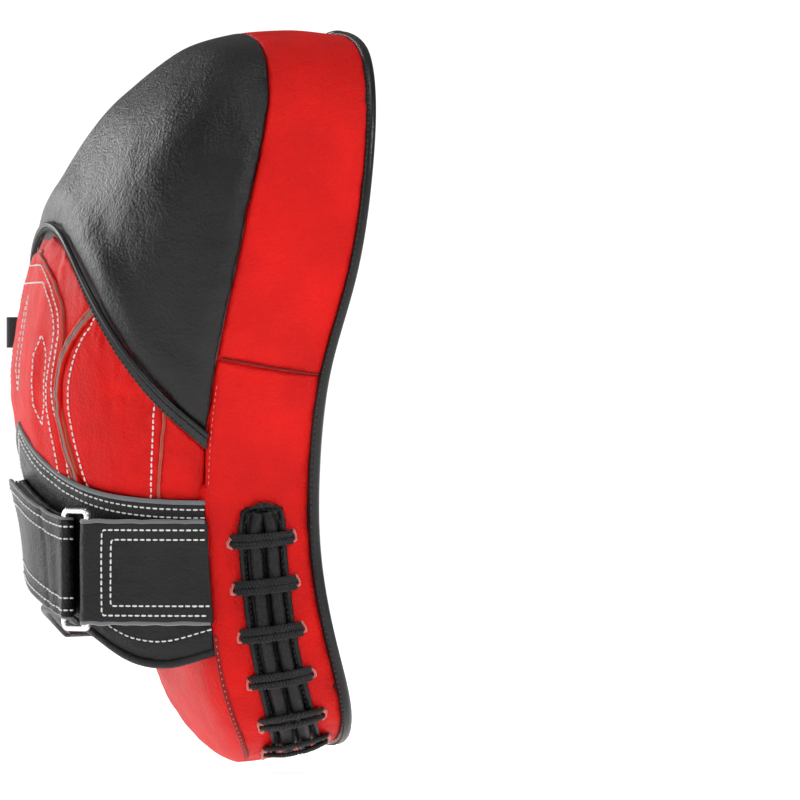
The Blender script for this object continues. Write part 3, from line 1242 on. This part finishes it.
def braid(path, out):
    """Points and faces of three plaited yarns along a path; out points away from the mitt."""
    path = along_curve(path, step=YARN_STEP)
    tangent = unit(np.gradient(path, axis=0))
    across = unit(np.cross(tangent, out))
    up = np.cross(across, tangent)
    reach = np.arange(len(path)) * YARN_STEP
    points, faces = [], []
    ring_angle = np.linspace(0, 2 * math.pi, 8, endpoint=False)
    for yarn in range(3):
        phase = reach * 2 * math.pi / PLAIT + yarn * 2 * math.pi / 3
        middle = path + across * (0.78 * np.sin(phase))[:, None] + up * (0.34 * np.sin(2 * phase))[:, None]
        base = len(points)
        for m, a, u in zip(middle, across, up):
            for angle in ring_angle:
                points.append(m + a * 0.82 * math.cos(angle) + u * 0.68 * math.sin(angle))
        faces += grid_faces(len(path), 8, base, True)
        last = base + (len(path) - 1) * 8
        faces.append([base + j for j in range(8)][::-1])
        faces.append([last + j for j in range(8)])
    return points, faces


# Each row: distance behind the middle of the lacing, and stand-off, from one hole to the other.
ROW_ASIDES = np.array(
    [12.2, 11.6, 10.4, 8.6, 6.6, 4.8, 3.1, 0, -3.1, -4.8, -6.6, -8.6, -10.4, -11.6, -12.2])
ROW_OUTS = np.array([-1.2, 1.2, 2.9, 4.2, 5.8, 7.1, 7.75, 7.45, 7.75, 7.1, 5.8, 4.2, 2.9, 1.2, -1.2])
for shift, strand_name, node in (
        (1, "lace_upper", "lace_strand_upper"), (-1, "lace_lower", "lace_strand_lower")):
    all_points, all_faces = [], []
    for number, row in enumerate(LACE_ROWS):
        side = 1 if number % 2 == 0 else -1
        lean = np.linspace(0.7, -0.7, len(ROW_ASIDES)) * side
        heights = row + shift * 1.45 + lean * 0.6 - 0.9
        downward = -float(laced_out(np.array([row]))[0, 2])
        heights = heights + np.clip(ROW_OUTS, 0, 9) * max(downward, 0.0) * 0.8
        knots = laced_point(np.maximum(heights, 1.2), ROW_ASIDES * side, ROW_OUTS)
        smooth = spline([tuple(k) for k in knots], 90)
        middle_out = laced_out(np.array([row]))[0]
        points, faces = braid(smooth, middle_out)
        start = len(all_points)
        all_points += points
        all_faces += [[start + v for v in face] for face in faces]
    piece = make(strand_name, np.array(all_points), all_faces, LACE_CORD)
    dress(piece, node)

# Torn leather round each lace hole.
hole_points, hole_faces = [], []
for row in LACE_ROWS:
    for side in (-1, 1):
        angles = np.linspace(0, 2 * math.pi, 20, endpoint=False)
        start = len(hole_points)
        for radius, lift in ((0.8, -0.2), (1.2, 1.3), (1.8, 1.35), (2.3, 0.2)):
            for angle in angles:
                wobble = 1 + 0.12 * math.sin(3 * angle + row) + 0.06 * math.sin(7 * angle)
                z = max(row - 0.9 + radius * 1.15 * wobble * math.sin(angle), 1.0)
                aside = side * 12.0 + radius * 0.8 * wobble * math.cos(angle)
                hole_points.append(laced_point(np.array(z), np.array(aside), np.array(lift + 0.6)))
        hole_faces += grid_faces(4, 20, start, True)
        for j in range(20):
            k = (j + 1) % 20
            hole_faces.append([start + 60 + j, start + 60 + k, start + k, start + j])
holes = make("lace_hole_edges", np.array(hole_points), hole_faces, TORN)


# ---------------------------------------------------------------- linings, grip and stalls
# The inner soft parts start from the frame's shapes, cut finer and rippled as one cloth.
FINE_EDGE = 0.0045


def rippled(node, name, material, body="mitt", rise=0.5, size=16.0, seed=91):
    """A finer, gently rippled copy of one soft part of the frame; both of its sides move together."""
    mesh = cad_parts[node].data.copy()
    mesh.name = name
    fine = bmesh.new()
    fine.from_mesh(mesh)
    bmesh.ops.remove_doubles(fine, verts=fine.verts, dist=0.00001)
    for _ in range(5):
        bmesh.ops.triangulate(fine, faces=fine.faces)
        long_edges = [edge for edge in fine.edges if edge.calc_length() > FINE_EDGE]
        if not long_edges:
            break
        bmesh.ops.subdivide_edges(fine, edges=long_edges, cuts=1)
    bmesh.ops.triangulate(fine, faces=fine.faces)
    fine.to_mesh(mesh)
    fine.free()
    spots = np.zeros(len(mesh.vertices) * 3)
    mesh.vertices.foreach_get("co", spots)
    spots = spots.reshape(-1, 3)
    spots_mm = spots * 1000.0
    shift = np.stack([ripple(spots_mm, seed + k, size) for k in range(3)], axis=1)
    shift += 0.4 * np.stack([ripple(spots_mm, seed + 3 + k, size / 2.6) for k in range(3)], axis=1)
    spots += shift * (rise / 1000.0 * np.array([0.6, 1.0, 0.6]))
    if node.startswith("cuff"):
        low = hem_edge(spots[:, 1] * 1000.0 + WRIST_BACK)
        height = spots[:, 2] * 1000.0 + WRIST_HEIGHT
        rise = np.clip(spots[:, 0] * 1000.0 / 30.0, 0, 1) ** 2 * np.clip(THUMB_HEM - low, 0, None)
        spots[:, 2] += rise / 1000.0 * np.clip((68.0 - height) / (68.0 - low), 0, 1.2)
    mesh.vertices.foreach_set("co", spots.ravel())
    mesh.materials.clear()
    mesh.materials.append(material)
    mesh.update()
    mesh.polygons.foreach_set("use_smooth", [True] * len(mesh.polygons))
    mesh.set_sharp_from_angle(angle=math.radians(42))
    piece = bpy.data.objects.new(name, mesh)
    bpy.context.scene.collection.objects.link(piece)
    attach(piece, body)
    dress(piece, node)
    return piece


for count, (node, name, material, body, rise, fill) in enumerate([
    ("back_panel", "back_panel_leather", RED, "mitt", 0.35, 0.5),
    ("palm_grip", "palm_grip_leather", RED, "mitt", 0.6, 0.6),
    ("cuff_lining", "cuff_lining_cloth", LINING, "mitt", 0.35, 0.3),
    ("cuff_padding", "cuff_padding_foam", FOAM, "mitt", 0.25, 0.7),
    ("hood_lining", "hood_lining_cloth", LINING, "mitt", 0.35, 0.3),
    ("stall_index", "stall_index_cloth", LINING, "mitt", 0.7, 0.2),
    ("stall_middle", "stall_middle_cloth", LINING, "mitt", 0.7, 0.2),
    ("stall_ring", "stall_ring_cloth", LINING, "mitt", 0.7, 0.2),
    ("stall_little", "stall_little_cloth", LINING, "mitt", 0.7, 0.2),
    ("stall_thumb", "stall_thumb_cloth", LINING, "mitt", 0.7, 0.2),
    ("loop_patch", "loop_patch_tape", TAPE, "mitt", 0.08, None),
    ("hook_patch", "hook_patch_tape", TAPE, "strap", 0.08, None),
]):
    inner = rippled(node, name, material, body, rise, seed=91 + 7 * count)


# ---------------------------------------------------------------- thread, finishes of the frame's own parts
flush_stitches(THREADS)
FINISHES = {
    "ring": METAL, "foam_strike": FOAM, "foam_core": FOAM, "foam_back": FOAM, "heel_pad": FOAM,
    "hood_foam": FOAM, "cuff_padding": FOAM, "hook_patch": TAPE, "loop_patch": TAPE,
    "cuff_lining": LINING, "hood_lining": LINING, "stall_index": LINING, "stall_middle": LINING,
    "stall_ring": LINING, "stall_little": LINING, "stall_thumb": LINING,
    "back_panel": RED, "palm_grip": RED, "edge_band_upper": RED, "edge_band_lower": RED, "heel_cover": RED,
    "glove_back": RED, "glove_side_laced": RED, "glove_side_thumb": RED, "glove_edge_strip_laced": RED,
    "glove_edge_strip_thumb": RED, "glove_welt_laced": RED, "glove_welt_thumb": RED, "knuckle_patch": RED,
    "hood_binding": TRIM, "hood_piping": PIPING, "rim_binding": PIPING, "thumb_tab": TRIM,
    "lace_strand_lower": LACE_CORD, "lace_strand_upper": LACE_CORD,
}
for node_name, node_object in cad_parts.items():
    finish_of_node = FINISHES.get(node_name, BLACK)
    if node_object.material_slots:
        for held in node_object.material_slots:
            held.material = finish_of_node
    else:
        node_object.data.materials.append(finish_of_node)


# ---------------------------------------------------------------- floor, lights and camera
bpy.context.scene.view_settings.view_transform = "Standard"
FLOOR, floor_nodes, floor_links, floor_shader = surface("white_floor", (0.9, 0.9, 0.9), 0.9, specular=0.1)
floor_grain = texture(floor_nodes, floor_links, "Noise", 3.0)
colour_spread(
    floor_nodes, floor_links, floor_shader, floor_grain.outputs["Fac"],
    (0.89, 0.89, 0.89), (0.91, 0.91, 0.91))
FLOOR_DROP = CAD_BOX[0][2] - 0.0015
floor_shader.inputs["Emission Color"].default_value = (1, 1, 1, 1)
floor_shader.inputs["Emission Strength"].default_value = 0.90
bpy.ops.mesh.primitive_plane_add(size=900, location=(0, 0, FLOOR_DROP))
floor = bpy.context.object
floor.name = "studio_floor"
floor.data.materials.append(FLOOR)

world = bpy.data.worlds.new("studio")
bpy.context.scene.world = world
world.use_nodes = True
# White at the horizon, dimmer overhead and below, so that the leather keeps its depth.
world_nodes, world_links = world.node_tree.nodes, world.node_tree.links
direction = world_nodes.new("ShaderNodeTexCoord")
split = world_nodes.new("ShaderNodeSeparateXYZ")
steep = world_nodes.new("ShaderNodeMath")
steep.operation = "ABSOLUTE"
fade = world_nodes.new("ShaderNodeMapRange")
fade.interpolation_type = "SMOOTHSTEP"
for socket, value in (("From Min", 0.04), ("From Max", 0.12), ("To Min", 1.1), ("To Max", 0.16)):
    fade.inputs[socket].default_value = value
world_nodes["Background"].inputs["Color"].default_value = (1, 1, 1, 1)
world_links.new(direction.outputs["Generated"], split.inputs["Vector"])
world_links.new(split.outputs["Z"], steep.inputs[0])
world_links.new(steep.outputs["Value"], fade.inputs["Value"])
world_links.new(fade.outputs["Result"], world_nodes["Background"].inputs["Strength"])

AIM = (-0.0154, -0.1125, 0.0945)
LOOK = (-0.978, 0.208, 0.0)
DISTANCE = 3.47


def aim(thing, target):
    """Turns a lamp or camera towards a point."""
    way = Vector(target) - thing.location
    thing.rotation_euler = way.to_track_quat("-Z", "Y").to_euler()


def lamp(name, place_at, size, power):
    """Square soft light aimed at the middle of the mitt."""
    light = bpy.data.lights.new(name, "AREA")
    light.energy = power
    light.size = size
    thing = bpy.data.objects.new(name, light)
    bpy.context.scene.collection.objects.link(thing)
    thing.location = place_at
    aim(thing, (0, 0, 0.08))


lamp("key", (-1.1, -0.95, 1.15), 0.42, 15)
lamp("fill", (-1.2, 1.3, 0.9), 0.9, 7)
lamp("top", (-0.2, 0.2, 1.8), 0.6, 8)
lamp("behind", (1.95, 1.0, 0.85), 0.8, 15)
lamp("side", (1.15, 1.6, 0.3), 0.8, 14)

camera_data = bpy.data.cameras.new("camera")
camera_data.lens = 400
camera_data.sensor_width = 36
camera_data.clip_end = 2000
camera = bpy.data.objects.new("camera", camera_data)
bpy.context.scene.collection.objects.link(camera)
camera.location = [AIM[k] + LOOK[k] * DISTANCE for k in range(3)]
aim(camera, AIM)
bpy.context.scene.camera = camera
